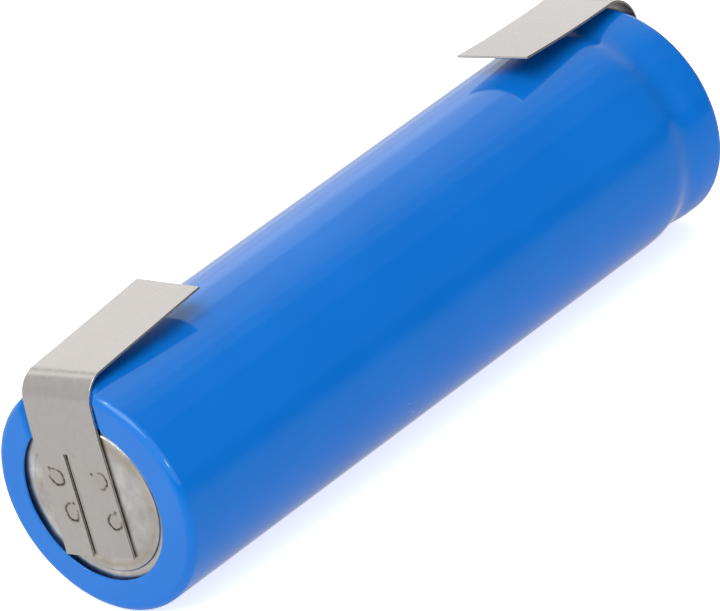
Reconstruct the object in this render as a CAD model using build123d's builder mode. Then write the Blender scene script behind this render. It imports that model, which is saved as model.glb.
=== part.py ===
from build123d import *
import os
from math import cos, radians, sin, tan

# A sleeved cylindrical lithium-ion cell with two nickel solder tags folded back along its barrel.
# The cell lies on its side.  +X runs from the negative end (can bottom) to the positive end (cap),
# +Z is up through both tags, and the origin is on the surface that the cell lies on, under the
# middle of its overall length.
#
# "Along" is the distance from the outer face of the can bottom towards the positive end, and
# "out" is the distance from the cell's axis.  Every section below is drawn in (along, out).

# ---------------------------------------------------------------- driving dimensions, mm
CELL_RADIUS = 9.25          # over the sleeve
CELL_LENGTH = 65.2          # can bottom to the top of the positive cap
GAP = 0.02                  # assembly gap between stacked pieces

CAN_RADIUS = 9.05           # bare can
CAN_WALL = 0.25
CAN_CORNER = 1.0
CAN_STEP = 0.1              # the middle of the can bottom stands out by this much
CAN_STEP_RADIUS = 5.9
CRIMP_RADIUS = 8.9          # can outside, between the bead and the crimp
CRIMP_TOP = 64.0
CRIMP_CORNER = 0.7
CRIMP_HOLE = 7.3            # radius that the crimped edge reaches in to
BEAD_CENTRE = 60.2
BEAD_RADIUS = 7.9           # can outside, at the bottom of the rolled bead
BEAD_FLOOR_HALF = 0.45      # half length of the bead's floor and of its mouth
BEAD_MOUTH_HALF = 0.9
BEAD_FILLET = 0.35
BEAD_SHOULDER = 0.5

SLEEVE_NEGATIVE_FACE = -0.3
SLEEVE_POSITIVE_FACE = 64.4
SLEEVE_NEGATIVE_HOLE = 6.36
SLEEVE_POSITIVE_HOLE = 6.6
SLEEVE_NEGATIVE_CORNER = 0.65
SLEEVE_POSITIVE_CORNER = 0.87
SLEEVE_END_RADIUS = 9.1     # sleeve outside, past the bead
SLEEVE_DIP = 0.38           # how far the sleeve sinks into the bead
SLEEVE_DIP_HALF = 1.5       # half length of the dip, outside and inside
SLEEVE_DIP_INNER_HALF = 0.85
SLEEVE_DIP_FILLET = 1.5     # along the dip, outside; its shoulders are tighter inside
SLEEVE_DIP_INNER_FILLET = 0.5
SLEEVE_LIP = 0.2            # sleeve's thickness over the washer

TAG_WIDTH = 6.8
TAG_THICKNESS = 0.2
TAG_GAP = 0.05              # what the weld nuggets leave between a foot and its terminal
TAG_OFFSET = 1.13           # tag's middle, towards +Y from the cell's middle plane
TAG_FOOT_END = -4.6         # free end of the foot, across the axis from the bend
TAG_TIP_FILLET = 0.3
TAG_FOOT_FILLET = 0.4
SLIT_OFFSET = 1.76          # slit's middle, towards +Y from the cell's middle plane
SLIT_WIDTH = 0.35
SLIT_TOP = 3.7
HINGE_CLEARANCE = 0.05
NEGATIVE_BEND_RADIUS = 1.8  # to the middle of the strip
NEGATIVE_BEND_CENTRE = 7.91
NEGATIVE_LEG_LENGTH = 11.87
NEGATIVE_LEG_PITCH = 5.83   # degrees that the leg rises from the barrel towards its tip
NEGATIVE_LEG_YAW = 3.0      # degrees that the leg points to the -Y side of the cell's axis
POSITIVE_BEND_RADIUS = 2.35
POSITIVE_BEND_CENTRE = 7.38
POSITIVE_LEG_LENGTH = 11.89
POSITIVE_LEG_PITCH = 5.25
POSITIVE_LEG_YAW = 5.8
PRESS_MARGIN = 0.1          # the sleeve's lip is pressed flat this far past each edge of a tag
PRESS_START = 4.2           # the pressed stretch starts here, just inside the hole's edge

ROLL_BOTTOM = 0.75          # edges of the separators, the longest sheets of the roll
ROLL_TOP = 58.6
ROLL_TURNS = 8
ROLL_START = 2.0            # radius of the innermost half turn
ROLL_PITCH = 0.754
CATHODE_THICKNESS = 0.3
ANODE_THICKNESS = 0.3
SEPARATOR_THICKNESS = 0.05
ANODE_MARGIN = 0.45         # each electrode ends short of the separators
CATHODE_MARGIN = 0.9
TAPE_RADIUS = 8.66
TAPE_THICKNESS = 0.06
TAPE_MARGIN = 0.4
PIN_RADIUS = 1.5
PIN_WALL = 0.2
PIN_MARGIN = 0.2

INNER_TAB_THICKNESS = 0.12
NEGATIVE_INNER_TAB_WIDTH = 3.0
NEGATIVE_INNER_TAB_REACH = 8.25
NEGATIVE_INNER_TAB_FILLET = 0.3
POSITIVE_INNER_TAB_WIDTH = 2.6
POSITIVE_INNER_TAB_TURN = 4  # the turn of the cathode that the tab comes out of
POSITIVE_INNER_TAB_LIFT = 0.25   # its first run's middle, above the top insulator
POSITIVE_INNER_TAB_FOLD = -2.5   # where the tab doubles back, and where it ends
POSITIVE_INNER_TAB_END = 2.0
POSITIVE_INNER_TAB_FILLETS = [0.3, 0.7, 0.7]
INSULATOR_THICKNESS = 0.15
BOTTOM_INSULATOR_RADIUS = 7.9
BOTTOM_INSULATOR_HOLE = 1.2
TOP_INSULATOR_GAP = 0.1
TOP_INSULATOR_SLOT = (3.2, 0.8)  # lets the positive inner tab through

RIM_RADIUS = 8.3            # edge of the pieces that the gasket grips
GASKET_START = 61.35
GASKET_END = 63.7
GASKET_RADIUS = 8.62
GASKET_FLOOR = 62.0
GASKET_LIP = 63.38
GASKET_FLOOR_HOLE = 6.9
VENT_THICKNESS = 0.3
VENT_DROP = 1.0
VENT_CENTRE_RADIUS = 3.0
VENT_SEAT_RADIUS = 5.0
VENT_FILLET = 0.5
VENT_INSULATOR_HOLE = 5.5
PTC_THICKNESS = 0.4
PTC_HOLE = 5.2
CAP_THICKNESS = 0.6
CAP_TOP_RADIUS = 4.5
CAP_BASE_RADIUS = 5.6
CAP_FILLET = 0.4
CAP_VENTS = 4
CAP_VENT_SIZE = (2.4, 0.8)
WELD_DISC_START = 60.7
WELD_DISC_THICKNESS = 0.28
WELD_DISC_RADIUS = 6.3
WELD_DISC_HOLES = 6
WELD_DISC_HOLE_RADIUS = 0.6
WELD_DISC_HOLE_CIRCLE = 4.0
WASHER_THICKNESS = 0.16
WASHER_HOLE = 5.9

# ---------------------------------------------------------------- places and planes
MIDDLE = CELL_LENGTH / 2     # the two feet stand out equally, so this is the overall middle too
CELL_AXIS = Axis((0, 0, CELL_RADIUS), (1, 0, 0))
SECTION = Plane(origin=(-MIDDLE, 0, CELL_RADIUS), x_dir=(1, 0, 0), z_dir=(0, -1, 0))
TAG_SECTION = SECTION.offset(-TAG_OFFSET)


def across(along):
    """Plane across the cell, with its x towards +Y and its y towards +Z."""
    return Plane(origin=(along - MIDDLE, 0, CELL_RADIUS), x_dir=(0, 1, 0), z_dir=(1, 0, 0))


# ---------------------------------------------------------------- shapes that repeat
def ring(start, thickness, outer, inner=0.0):
    """Flat disc, washer or tube about the cell's axis."""
    with BuildPart() as piece:
        with BuildSketch(across(start)):
            Circle(outer)
            if inner > 0:
                Circle(inner, mode=Mode.SUBTRACT)
        extrude(amount=thickness)
    return piece


def sheet_metal_turning(points, radii, thickness):
    """Round piece of even thickness, from the middle line of its section."""
    with BuildPart() as piece:
        with BuildSketch(SECTION):
            with BuildLine():
                FilletPolyline(*points, radius=radii)
            trace(line_width=thickness)
        revolve(axis=CELL_AXIS)
    return piece


def strip(plane, points, radii, width):
    """Thin metal strip that follows the middle line of its side view."""
    with BuildPart() as piece:
        with BuildSketch(plane):
            with BuildLine():
                FilletPolyline(*points, radius=radii)
            trace(line_width=INNER_TAB_THICKNESS)
        extrude(amount=width / 2, both=True)
    return piece


def wound_sheet(margin, inner, thickness):
    """Sheet of the roll: half circles about two centres, a quarter of the pitch off the axis.

    The half circles meet in tangents, and every sheet shares their centres, so each sheet has an
    even thickness and the sheets nest without touching.
    """
    def centre(half):
        return ROLL_PITCH / 4 if half % 2 else -ROLL_PITCH / 4

    def radius(half, face):
        return face + half * ROLL_PITCH / 2

    last = 2 * ROLL_TURNS - 1
    outer = inner + thickness
    with BuildPart() as sheet:
        with BuildSketch(across(ROLL_BOTTOM + margin)):
            with BuildLine():
                for face in (inner, outer):
                    for half in range(2 * ROLL_TURNS):
                        CenterArc((centre(half), 0), radius(half, face), 180 * (half % 2), 180)
                Line((centre(0) + inner, 0), (centre(0) + outer, 0))
                Line((centre(last) + radius(last, inner), 0), (centre(last) + radius(last, outer), 0))
            make_face()
        extrude(amount=ROLL_TOP - ROLL_BOTTOM - 2 * margin)
    return sheet


class SolderTag:
    """Foot and leg of one tag, drawn from its foot's middle plane towards the cell's middle."""

    def __init__(self, foot_middle, direction, bend_radius, bend_centre, leg_length, pitch, yaw):
        turn = radians(90 - pitch)
        slope = radians(pitch)
        stop = turn - (TAG_THICKNESS / 2 + HINGE_CLEARANCE) / bend_radius

        def place(inward, out):
            return (foot_middle + direction * inward, out)

        def on_bend(angle):
            return place(bend_radius * (1 - cos(angle)), bend_centre + bend_radius * sin(angle))

        self.hinge = on_bend(turn)
        self.leg_plane = Plane(
            origin=(self.hinge[0] - MIDDLE, TAG_OFFSET, self.hinge[1] + CELL_RADIUS),
            x_dir=(direction * cos(slope), 0, sin(slope)),
            z_dir=(-sin(slope), 0, direction * cos(slope)),
        )
        self.foot = self.make_foot(place(0, TAG_FOOT_END), place(0, bend_centre), on_bend(stop))
        self.leg = self.make_leg(leg_length, tan(radians(yaw)))

    @staticmethod
    def make_foot(free_end, bend_start, bend_end):
        """Flat foot with an open slit between its two prongs, and the bend over the rim."""
        with BuildPart() as foot:
            with BuildSketch(TAG_SECTION):
                with BuildLine():
                    Line(free_end, bend_start)
                    TangentArc(bend_start, bend_end, tangent=(0, 1))
                trace(line_width=TAG_THICKNESS)
            extrude(amount=TAG_WIDTH / 2, both=True)
            slit_length = 2 * (SLIT_TOP - TAG_FOOT_END)
            with BuildSketch(across(free_end[0])):
                with Locations((SLIT_OFFSET, SLIT_TOP - slit_length / 2)):
                    SlotOverall(slit_length, SLIT_WIDTH, rotation=90)
            extrude(amount=TAG_THICKNESS, both=True, mode=Mode.SUBTRACT)
            end_corners = foot.edges().filter_by(Axis.X).group_by(Axis.Z)[0].sort_by(Axis.Y)
            fillet([end_corners[0], end_corners[-1]], radius=TAG_FOOT_FILLET)
        return foot

    def make_leg(self, length, drift):
        """Flat leg that drifts sideways from its fold line, where its root is half round."""
        half = TAG_WIDTH / 2
        with BuildPart() as leg:
            with BuildSketch(self.leg_plane) as outline:
                Polygon(
                    (0, -half),
                    (length - half * drift, -half - length * drift),
                    (length + half * drift, half - length * drift),
                    (0, half),
                    align=None,
                )
                fillet(outline.vertices().sort_by(Axis.X)[-2:], radius=TAG_TIP_FILLET)
            extrude(amount=TAG_THICKNESS / 2, both=True)
            with Locations(self.leg_plane * Rot(X=90)):
                Cylinder(TAG_THICKNESS / 2, TAG_WIDTH)
        return leg


# ---------------------------------------------------------------- can and sleeve
with BuildPart() as can:
    with BuildSketch(SECTION):
        with BuildLine():
            FilletPolyline(
                (CAN_STEP, 0),
                (CAN_STEP, CAN_RADIUS),
                (BEAD_CENTRE - BEAD_MOUTH_HALF, CAN_RADIUS),
                (BEAD_CENTRE - BEAD_FLOOR_HALF, BEAD_RADIUS),
                (BEAD_CENTRE + BEAD_FLOOR_HALF, BEAD_RADIUS),
                (BEAD_CENTRE + BEAD_MOUTH_HALF, CRIMP_RADIUS),
                (CRIMP_TOP, CRIMP_RADIUS),
                (CRIMP_TOP, CRIMP_HOLE),
                radius=[CAN_CORNER, BEAD_SHOULDER, BEAD_FILLET, BEAD_FILLET, BEAD_SHOULDER, CRIMP_CORNER],
            )
            offset(amount=CAN_WALL, side=Side.RIGHT)
        make_face()
    revolve(axis=CELL_AXIS)
    with BuildSketch(across(0)):
        Circle(CAN_STEP_RADIUS)
    extrude(amount=CAN_STEP + CAN_WALL / 2)

with BuildPart() as shrink_sleeve:
    inner_face = CAN_STEP - GAP
    with BuildSketch(SECTION):
        with BuildLine():
            outside = FilletPolyline(
                (SLEEVE_NEGATIVE_FACE, SLEEVE_NEGATIVE_HOLE),
                (SLEEVE_NEGATIVE_FACE, CELL_RADIUS),
                (BEAD_CENTRE - SLEEVE_DIP_HALF, CELL_RADIUS),
                (BEAD_CENTRE, CELL_RADIUS - SLEEVE_DIP),
                (BEAD_CENTRE + SLEEVE_DIP_HALF, SLEEVE_END_RADIUS),
                (SLEEVE_POSITIVE_FACE, SLEEVE_END_RADIUS),
                (SLEEVE_POSITIVE_FACE, SLEEVE_POSITIVE_HOLE),
                radius=[SLEEVE_NEGATIVE_CORNER, *[SLEEVE_DIP_FILLET] * 3, SLEEVE_POSITIVE_CORNER],
            )
            inside = FilletPolyline(
                (inner_face, SLEEVE_NEGATIVE_HOLE),
                (inner_face, CAN_RADIUS + GAP),
                (BEAD_CENTRE - SLEEVE_DIP_INNER_HALF, CAN_RADIUS + GAP),
                (BEAD_CENTRE, CAN_RADIUS + GAP - SLEEVE_DIP),
                (BEAD_CENTRE + SLEEVE_DIP_INNER_HALF, CRIMP_RADIUS + GAP),
                (SLEEVE_POSITIVE_FACE - SLEEVE_LIP, CRIMP_RADIUS + GAP),
                (SLEEVE_POSITIVE_FACE - SLEEVE_LIP, SLEEVE_POSITIVE_HOLE),
                radius=[
                    CAN_CORNER,
                    SLEEVE_DIP_INNER_FILLET,
                    SLEEVE_DIP_FILLET,
                    SLEEVE_DIP_INNER_FILLET,
                    CRIMP_CORNER - SLEEVE_LIP / 2,
                ],
            )
            Line(outside @ 0, inside @ 0)
            Line(outside @ 1, inside @ 1)
        make_face()
    revolve(axis=CELL_AXIS)
    # The negative tag presses its stretch of the soft lip flat and rounds the corner below its bend.
    press_width = TAG_WIDTH + 2 * PRESS_MARGIN
    press_face = GAP - TAG_GAP
    press_radius = NEGATIVE_BEND_RADIUS - TAG_THICKNESS / 2 - GAP
    with BuildSketch(TAG_SECTION):
        with BuildLine():
            press = Polyline(
                (SLEEVE_NEGATIVE_FACE - 1, PRESS_START),
                (press_face, PRESS_START),
                (press_face, NEGATIVE_BEND_CENTRE),
            )
            press_bend = TangentArc(
                press @ 1,
                (press_face + press_radius, NEGATIVE_BEND_CENTRE + press_radius),
                tangent=(0, 1),
            )
            Polyline(press_bend @ 1, (SLEEVE_NEGATIVE_FACE - 1, (press_bend @ 1).Y), press @ 0)
        make_face()
    extrude(amount=press_width / 2, both=True, mode=Mode.SUBTRACT)

# ---------------------------------------------------------------- roll and its inner tabs
layers = (ANODE_THICKNESS, CATHODE_THICKNESS, SEPARATOR_THICKNESS, SEPARATOR_THICKNESS)
layer_gap = (ROLL_PITCH - sum(layers)) / len(layers)
cathode_start = ROLL_START + SEPARATOR_THICKNESS + layer_gap
outer_separator_start = cathode_start + CATHODE_THICKNESS + layer_gap
anode_start = outer_separator_start + SEPARATOR_THICKNESS + layer_gap

inner_separator = wound_sheet(0, ROLL_START, SEPARATOR_THICKNESS)
cathode_sheet = wound_sheet(CATHODE_MARGIN, cathode_start, CATHODE_THICKNESS)
outer_separator = wound_sheet(0, outer_separator_start, SEPARATOR_THICKNESS)
anode_sheet = wound_sheet(ANODE_MARGIN, anode_start, ANODE_THICKNESS)

tape_length = ROLL_TOP - ROLL_BOTTOM - 2 * TAPE_MARGIN
wrap_tape = ring(ROLL_BOTTOM + TAPE_MARGIN, tape_length, TAPE_RADIUS + TAPE_THICKNESS, TAPE_RADIUS)
pin_length = ROLL_TOP - ROLL_BOTTOM - 2 * PIN_MARGIN
centre_pin = ring(ROLL_BOTTOM + PIN_MARGIN, pin_length, PIN_RADIUS, PIN_RADIUS - PIN_WALL)

can_floor = CAN_STEP + CAN_WALL
floor_tab_middle = can_floor + GAP + INNER_TAB_THICKNESS / 2
negative_inner_tab = strip(
    SECTION,
    [
        (floor_tab_middle, NEGATIVE_INNER_TAB_WIDTH / 2),
        (floor_tab_middle, -NEGATIVE_INNER_TAB_REACH),
        (ROLL_BOTTOM + ANODE_MARGIN, -NEGATIVE_INNER_TAB_REACH),
    ],
    [NEGATIVE_INNER_TAB_FILLET],
    NEGATIVE_INNER_TAB_WIDTH,
)
bottom_insulator = ring(
    can_floor + INNER_TAB_THICKNESS + 2 * GAP,
    INSULATOR_THICKNESS,
    BOTTOM_INSULATOR_RADIUS,
    BOTTOM_INSULATOR_HOLE,
)

tab_height = cathode_start + POSITIVE_INNER_TAB_TURN * ROLL_PITCH + GAP / 2 + INNER_TAB_THICKNESS / 2
insulator_start = ROLL_TOP + TOP_INSULATOR_GAP
low_run = insulator_start + INSULATOR_THICKNESS + POSITIVE_INNER_TAB_LIFT
high_run = WELD_DISC_START - GAP - INNER_TAB_THICKNESS / 2
positive_inner_tab = strip(
    SECTION.offset(ROLL_PITCH / 4),
    [
        (ROLL_TOP - CATHODE_MARGIN, tab_height),
        (low_run, tab_height),
        (low_run, POSITIVE_INNER_TAB_FOLD),
        (high_run, POSITIVE_INNER_TAB_FOLD),
        (high_run, POSITIVE_INNER_TAB_END),
    ],
    POSITIVE_INNER_TAB_FILLETS,
    POSITIVE_INNER_TAB_WIDTH,
)

with BuildPart() as top_insulator:
    with BuildSketch(across(insulator_start)):
        Circle(TAPE_RADIUS)
        Circle(PIN_RADIUS, mode=Mode.SUBTRACT)
        with Locations((-ROLL_PITCH / 4, tab_height)):
            Rectangle(*TOP_INSULATOR_SLOT, mode=Mode.SUBTRACT)
    extrude(amount=INSULATOR_THICKNESS)

# ---------------------------------------------------------------- cap assembly
with BuildPart() as crimp_gasket:
    with BuildSketch(SECTION) as gasket_section:
        with BuildLine():
            Polyline(
                (GASKET_START, GASKET_FLOOR_HOLE),
                (GASKET_START, GASKET_RADIUS),
                (GASKET_END, GASKET_RADIUS),
                (GASKET_END, CRIMP_HOLE),
                (GASKET_LIP, CRIMP_HOLE),
                (GASKET_LIP, RIM_RADIUS + GAP),
                (GASKET_FLOOR, RIM_RADIUS + GAP),
                (GASKET_FLOOR, GASKET_FLOOR_HOLE),
                close=True,
            )
        make_face()
        crimped_corner = gasket_section.vertices().sort_by(Axis.X)[-2:].sort_by(Axis.Y)[-1]
        fillet(crimped_corner, radius=CRIMP_CORNER - CAN_WALL - GAP)
    revolve(axis=CELL_AXIS)

vent_middle = GASKET_FLOOR + GAP + VENT_THICKNESS / 2
vent_disc = sheet_metal_turning(
    [
        (vent_middle - VENT_DROP, 0),
        (vent_middle - VENT_DROP, VENT_CENTRE_RADIUS),
        (vent_middle, VENT_SEAT_RADIUS),
        (vent_middle, RIM_RADIUS),
    ],
    VENT_FILLET,
    VENT_THICKNESS,
)
ptc_start = vent_middle + VENT_THICKNESS / 2 + GAP
ptc_ring = ring(ptc_start, PTC_THICKNESS, RIM_RADIUS, PTC_HOLE)

brim_middle = GASKET_LIP - GAP - CAP_THICKNESS / 2
cap_top_middle = CELL_LENGTH - CAP_THICKNESS / 2
with BuildPart() as positive_cap:
    with BuildSketch(SECTION):
        with BuildLine():
            FilletPolyline(
                (cap_top_middle, 0),
                (cap_top_middle, CAP_TOP_RADIUS),
                (brim_middle, CAP_BASE_RADIUS),
                (brim_middle, RIM_RADIUS),
                radius=CAP_FILLET,
            )
        trace(line_width=CAP_THICKNESS)
    revolve(axis=CELL_AXIS)
    for vent in range(CAP_VENTS):
        angle = radians(45 + vent * 360 / CAP_VENTS)
        window = Plane(
            origin=((brim_middle + cap_top_middle) / 2 - MIDDLE, 0, CELL_RADIUS),
            x_dir=(0, -sin(angle), cos(angle)),
            z_dir=(0, cos(angle), sin(angle)),
        )
        with BuildSketch(window):
            SlotOverall(*CAP_VENT_SIZE)
        extrude(amount=CAP_BASE_RADIUS + CAP_THICKNESS, mode=Mode.SUBTRACT)

with BuildPart() as weld_disc:
    with BuildSketch(across(WELD_DISC_START)):
        Circle(WELD_DISC_RADIUS)
        with PolarLocations(WELD_DISC_HOLE_CIRCLE, WELD_DISC_HOLES):
            Circle(WELD_DISC_HOLE_RADIUS, mode=Mode.SUBTRACT)
    extrude(amount=WELD_DISC_THICKNESS)

spacer_start = WELD_DISC_START + WELD_DISC_THICKNESS + GAP
vent_insulator_ring = ring(
    spacer_start, GASKET_FLOOR - spacer_start, WELD_DISC_RADIUS, VENT_INSULATOR_HOLE
)
insulating_washer = ring(CRIMP_TOP + GAP, WASHER_THICKNESS, RIM_RADIUS, WASHER_HOLE)

# ---------------------------------------------------------------- solder tags
foot_height = TAG_GAP + TAG_THICKNESS / 2
negative_tag = SolderTag(
    foot_middle=-foot_height,
    direction=1,
    bend_radius=NEGATIVE_BEND_RADIUS,
    bend_centre=NEGATIVE_BEND_CENTRE,
    leg_length=NEGATIVE_LEG_LENGTH,
    pitch=NEGATIVE_LEG_PITCH,
    yaw=NEGATIVE_LEG_YAW,
)
positive_tag = SolderTag(
    foot_middle=CELL_LENGTH + foot_height,
    direction=-1,
    bend_radius=POSITIVE_BEND_RADIUS,
    bend_centre=POSITIVE_BEND_CENTRE,
    leg_length=POSITIVE_LEG_LENGTH,
    pitch=POSITIVE_LEG_PITCH,
    yaw=POSITIVE_LEG_YAW,
)

# ---------------------------------------------------------------- one STEP file for each piece
pieces = {
    "can": can,
    "shrink_sleeve": shrink_sleeve,
    "inner_separator": inner_separator,
    "cathode_sheet": cathode_sheet,
    "outer_separator": outer_separator,
    "anode_sheet": anode_sheet,
    "wrap_tape": wrap_tape,
    "centre_pin": centre_pin,
    "negative_inner_tab": negative_inner_tab,
    "bottom_insulator": bottom_insulator,
    "positive_inner_tab": positive_inner_tab,
    "top_insulator": top_insulator,
    "crimp_gasket": crimp_gasket,
    "vent_disc": vent_disc,
    "ptc_ring": ptc_ring,
    "positive_cap": positive_cap,
    "weld_disc": weld_disc,
    "vent_insulator_ring": vent_insulator_ring,
    "insulating_washer": insulating_washer,
    "negative_tag_foot": negative_tag.foot,
    "negative_tag_leg": negative_tag.leg,
    "positive_tag_foot": positive_tag.foot,
    "positive_tag_leg": positive_tag.leg,
}

os.makedirs("parts", exist_ok=True)
for name, piece in pieces.items():
    piece.part.label = name
    export_step(piece.part, f"parts/{name}.step")
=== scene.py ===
import math

import bmesh
import bpy
import numpy as np
from mathutils import Matrix, Vector, noise


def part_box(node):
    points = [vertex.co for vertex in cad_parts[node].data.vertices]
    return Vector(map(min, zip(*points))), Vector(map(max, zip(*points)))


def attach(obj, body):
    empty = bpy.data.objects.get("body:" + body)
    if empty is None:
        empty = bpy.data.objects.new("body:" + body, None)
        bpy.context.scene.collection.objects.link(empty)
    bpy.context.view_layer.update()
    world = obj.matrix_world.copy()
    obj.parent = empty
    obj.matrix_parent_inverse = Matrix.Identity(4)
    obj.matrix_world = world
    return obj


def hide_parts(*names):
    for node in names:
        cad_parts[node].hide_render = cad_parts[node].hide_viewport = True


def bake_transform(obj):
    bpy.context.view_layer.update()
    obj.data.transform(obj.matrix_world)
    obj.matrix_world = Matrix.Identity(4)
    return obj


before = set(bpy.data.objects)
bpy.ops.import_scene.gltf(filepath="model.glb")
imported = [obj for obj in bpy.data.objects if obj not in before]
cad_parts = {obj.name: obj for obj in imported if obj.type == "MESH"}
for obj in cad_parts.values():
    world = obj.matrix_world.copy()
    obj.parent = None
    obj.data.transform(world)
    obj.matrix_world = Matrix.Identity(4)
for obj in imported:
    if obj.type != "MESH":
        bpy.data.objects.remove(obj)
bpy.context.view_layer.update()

# The cell lies along X.  Shapes are drawn in millimetres from two lines of the CAD frame: "along"
# is counted from the outer face of the can bottom towards the positive end, and "out" from the
# cell's axis.  Heights above the axis run towards the tags (+Z).
MM = 0.001
sleeve_low, sleeve_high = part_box("shrink_sleeve")
can_low, can_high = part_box("can")
cap_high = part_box("positive_cap")[1]
washer_low, washer_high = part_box("insulating_washer")
FACE_X = can_low.x
AXIS_Z = (sleeve_low.z + sleeve_high.z) / 2
RADIUS = (sleeve_high.z - sleeve_low.z) / 2 / MM
CAN_RADIUS = (can_high.z - can_low.z) / 2 / MM
SLEEVE_START = (sleeve_low.x - FACE_X) / MM
SLEEVE_END = (sleeve_high.x - FACE_X) / MM
CAN_END = (can_high.x - FACE_X) / MM
CAP_TOP = (cap_high.x - FACE_X) / MM

# Camera: the photograph's viewing angle, with a long lens.
VIEW_AZIMUTH = -43.70
VIEW_ELEVATION = 22.63
VIEW_ROLL = 16.04
VIEW_DISTANCE = 750.7
VIEW_AIM = (-1.67, 0.01, 0.10)     # from the middle of the cell's axis
LENS = 501.0
SENSOR = 36.0

# Studio, in metres: the panels' ends along X, how far the lights stand off, and half the floor's width
BACK_START = 0.29
PANEL_END = 1.9
WALL_END = 0.28
PANEL_DISTANCE = 0.75
FILL_DISTANCE = 1.1
FLOOR_HALF = 3.0

# Sleeve, in millimetres
SLEEVE_WALL = 0.18
SLEEVE_CLEARANCE = 0.02            # between the film and the can's corner
NEGATIVE_HOLE = 6.36               # radius, before its shift
POSITIVE_HOLE = 6.6
NEGATIVE_CORNER = 0.65
POSITIVE_CORNER = 0.87
POSITIVE_LIP = 0.2                 # thickness of the lip at the positive end
POSITIVE_INNER_CORNER = 0.62
INSIDE_START = 1.2                 # from here on the film's inside follows its outside
INSIDE_END = 63.2
RIM_RADIUS = 9.1                   # sleeve past the bead
LIP_EDGE = 0.075
LIP_DRIFT = 0.21                   # the negative opening is shifted towards +Y, and widened, by this
LIP_DRIFT_WIDTH = 1.6              # inwards from the lip's root, over which that shift builds up
LIP_ROOT = RADIUS - 1
END_WAVES = 5.0                    # length at each end where the film is less smooth
PRESS_CLEARANCE = 0.03             # between the film and the tag that presses it down
PRESS_FADE = 0.6                   # beside the tag, where the pressed film comes up again
PRESS_FROM = 3.9                   # above the axis
BEAD_CENTRE = 60.2
BEAD_DIP = 0.33
BEAD_DIP_WIDTH = 1.45
BEAD_SHOULDER_WIDTH = 2.0

# Can and the washer on its crimped edge
STEP_RADIUS = 5.9                  # the raised middle of the can bottom
STEP_DEPTH = 0.1
STEP_CORNER = 0.06
CAN_HOLLOW = 0.03                  # of that middle, at the axis
CAN_CORNER = 1.0
CAN_WALL = 0.25
CAN_BEAD_DEPTH = 1.05
CAN_BEAD_WIDTH = 0.75
CAN_NECK_STEP = 0.15               # past the bead the can is this much narrower
CRIMP_BEND = 8.2                   # where the wall turns in over the gasket
CRIMP_CORNER = 0.7
CRIMP_HOLE = 7.32
WASHER_HOLE = 5.9

# Solder tags
TAG_THICKNESS = 0.2
TAG_WIDTH = 6.8
TAG_OFFSET = 1.13                  # towards +Y
FOOT_END = -4.6                    # free end of the foot, below the axis
SLIT_TOP = 3.7
LEAN_FROM = 9.4                    # from the foot's free end, where it starts to lean inwards
SLIT_MIDDLE = 0.50                 # from the tag's middle, towards +Y
SLIT_WIDTH = 0.35
SLIT_LOW = SLIT_MIDDLE - SLIT_WIDTH / 2
SLIT_HIGH = SLIT_MIDDLE + SLIT_WIDTH / 2
SLIT_LENGTH = SLIT_TOP - FOOT_END
SLIT_BURR = 0.06                   # along the slit's one edge
SLIT_CURL = 0.42                   # radius of the raised curl round the slit's top
SLIT_CURL_HEIGHT = 0.09
EDGE_BURR = 0.022
EDGE_ROUND = 0.05
TAG_GAP = 0.05
BACK_LAYER = 20.0                  # pattern depth of the strip's back, so that its two faces differ
FINE_STEP = 0.085                  # grid over the slit and the welds
FINE_END = 9.2                     # from the foot's free end
WELD_RING = 0.66                   # radius of the pressed ring
WELD_STROKE = 0.10
WELD_DEPTH = 0.06
# Each spot weld: place towards +Y and above the axis; the turn from +Z to +Y where its stroke is
# strongest; how far round the stroke runs; and the turn where its burnt speck lies
WELDS = (
    (3.25, 1.7, -2.3, 0.97, 0.6),
    (2.70, -1.12, 2.4, 0.92, -0.5),
    (-1.15, 1.75, -1.7, 0.42, 0.9),
    (-1.45, -1.60, 2.3, 0.88, -0.35),
)
NEGATIVE_TAG = {
    "foot": -TAG_GAP - TAG_THICKNESS / 2,
    "direction": 1,
    "lean": 0.13,
    "bend_radius": 2.0,
    "bend_centre": 7.71,
    "leg": 11.62,
    "pitch": (5.8, 6.2),
    "yaw": 3.03,
    "roll": 1.1,
    "skew": 4.1,
}
POSITIVE_TAG = {
    "foot": CAP_TOP + TAG_GAP + TAG_THICKNESS / 2,
    "direction": -1,
    "lean": 0.0,
    "bend_radius": 2.35,
    "bend_centre": 7.38,
    "leg": 11.82,
    "pitch": (3.0, 7.5),
    "yaw": 5.85,
    "roll": 1.0,
    "skew": 3.8,
}


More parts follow.
